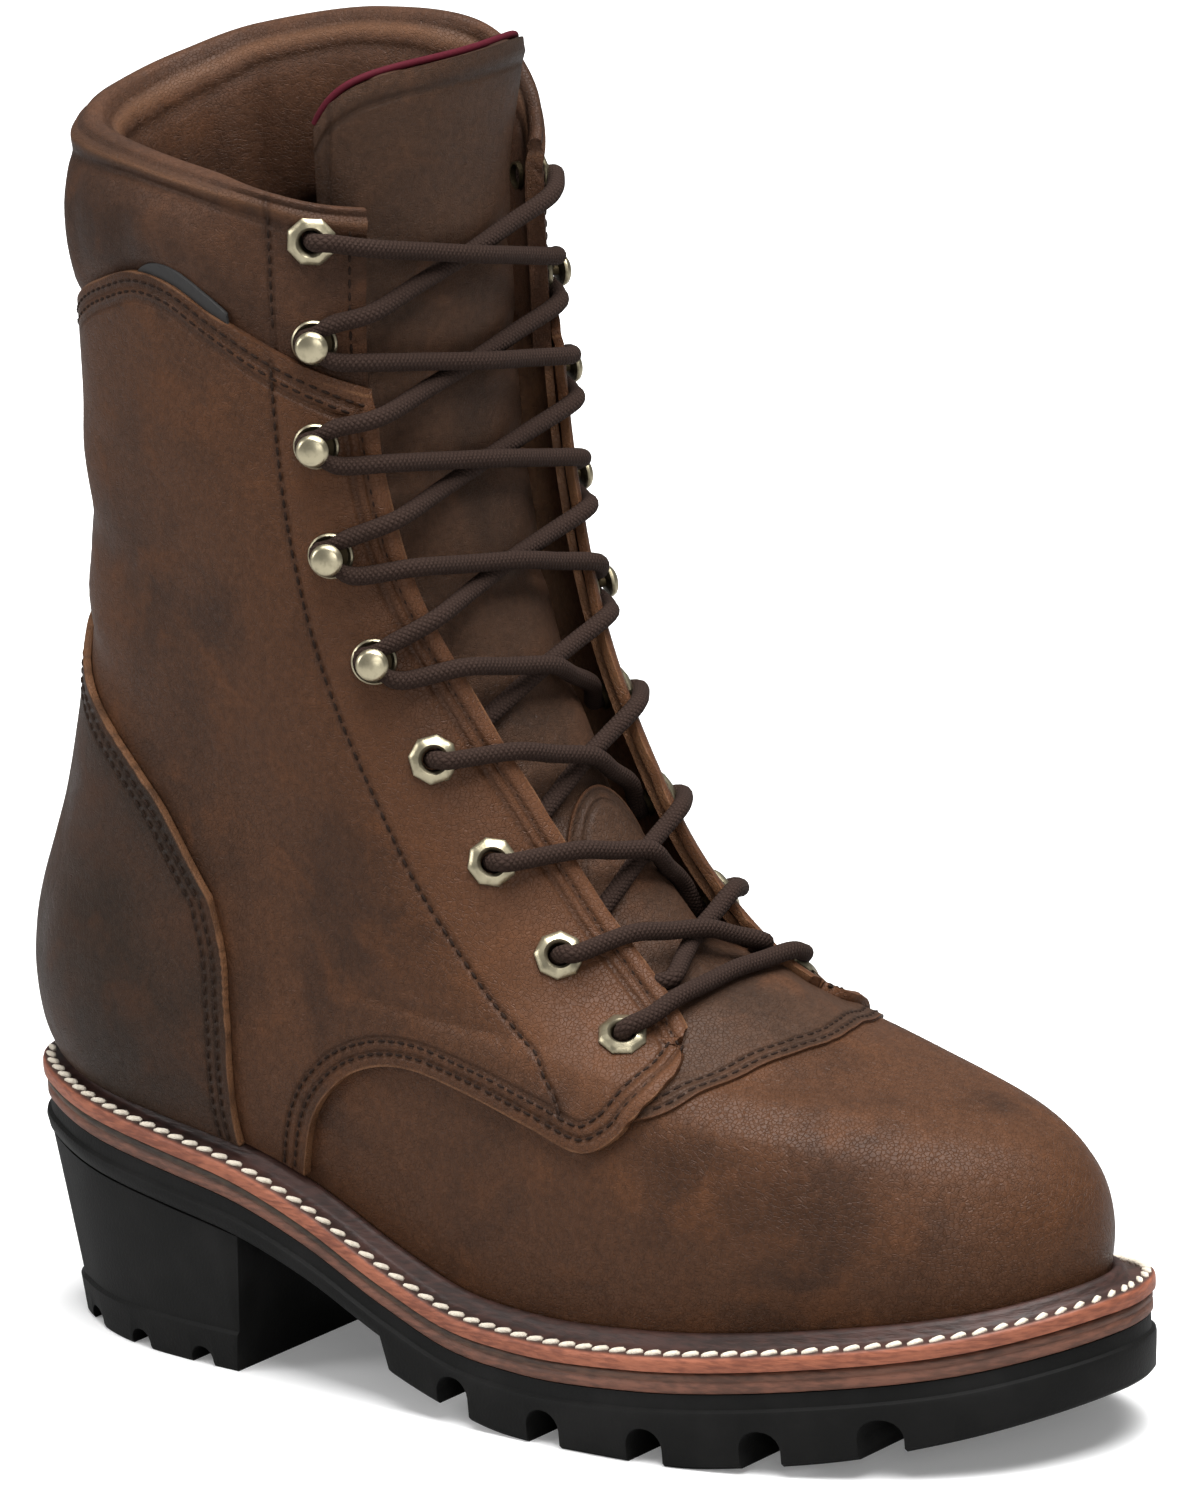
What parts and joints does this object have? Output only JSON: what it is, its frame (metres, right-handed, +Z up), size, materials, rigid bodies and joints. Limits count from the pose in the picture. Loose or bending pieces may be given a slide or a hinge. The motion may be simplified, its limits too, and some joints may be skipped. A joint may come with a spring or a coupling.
{
  "type": "logger boot",
  "caption": "Tall lace-up leather work boot with lugged sole, high heel, padded collar, eyelets and ball hooks; stands empty on its sole.",
  "frame": {"origin": "on the floor under the middle of the heel", "axes": "+Z up; the toe points along -Y; the outer side of the foot is -X"},
  "size_m": [0.111, 0.3084, 0.3225],
  "materials": {
    "leather": "oiled full-grain leather, soft satin",
    "leather_dark": "oiled leather, darker, satin",
    "leather_collar": "soft padded leather, satin",
    "piping": "woven edge binding, matte",
    "lace": "braided round cord, matte",
    "brass": "pale antique brass, worn",
    "welt_leather": "veg-tanned edge, stained terracotta",
    "midsole_leather": "stacked leather edge, matte",
    "rubber": "moulded rubber, matte",
    "insole_leather": "smooth lining leather, matte"
  },
  "bodies": {
    "root": {"backstay": "leather", "collar": "leather_collar", "counter": "leather_dark", "heel": "rubber", "insole": "insole_leather", "laces": "lace", "midsole": "midsole_leather", "outsole": "rubber", "quarter_lateral": "leather", "quarter_medial": "leather", "tongue": "leather_dark", "tongue_base": "leather_dark", "tongue_piping": "piping", "upper": "leather", "welt": "welt_leather", "eyelet_lateral_1": "brass", "eyelet_lateral_6": "brass", "eyelet_lateral_7": "brass", "eyelet_lateral_8": "brass", "eyelet_lateral_9": "brass", "hook_lateral_2": "brass", "hook_lateral_3": "brass", "hook_lateral_4": "brass", "hook_lateral_5": "brass", "eyelet_medial_1": "brass", "eyelet_medial_6": "brass", "eyelet_medial_7": "brass", "eyelet_medial_8": "brass", "eyelet_medial_9": "brass", "hook_medial_2": "brass", "hook_medial_3": "brass", "hook_medial_4": "brass", "hook_medial_5": "brass"}
  },
  "joints": []
}
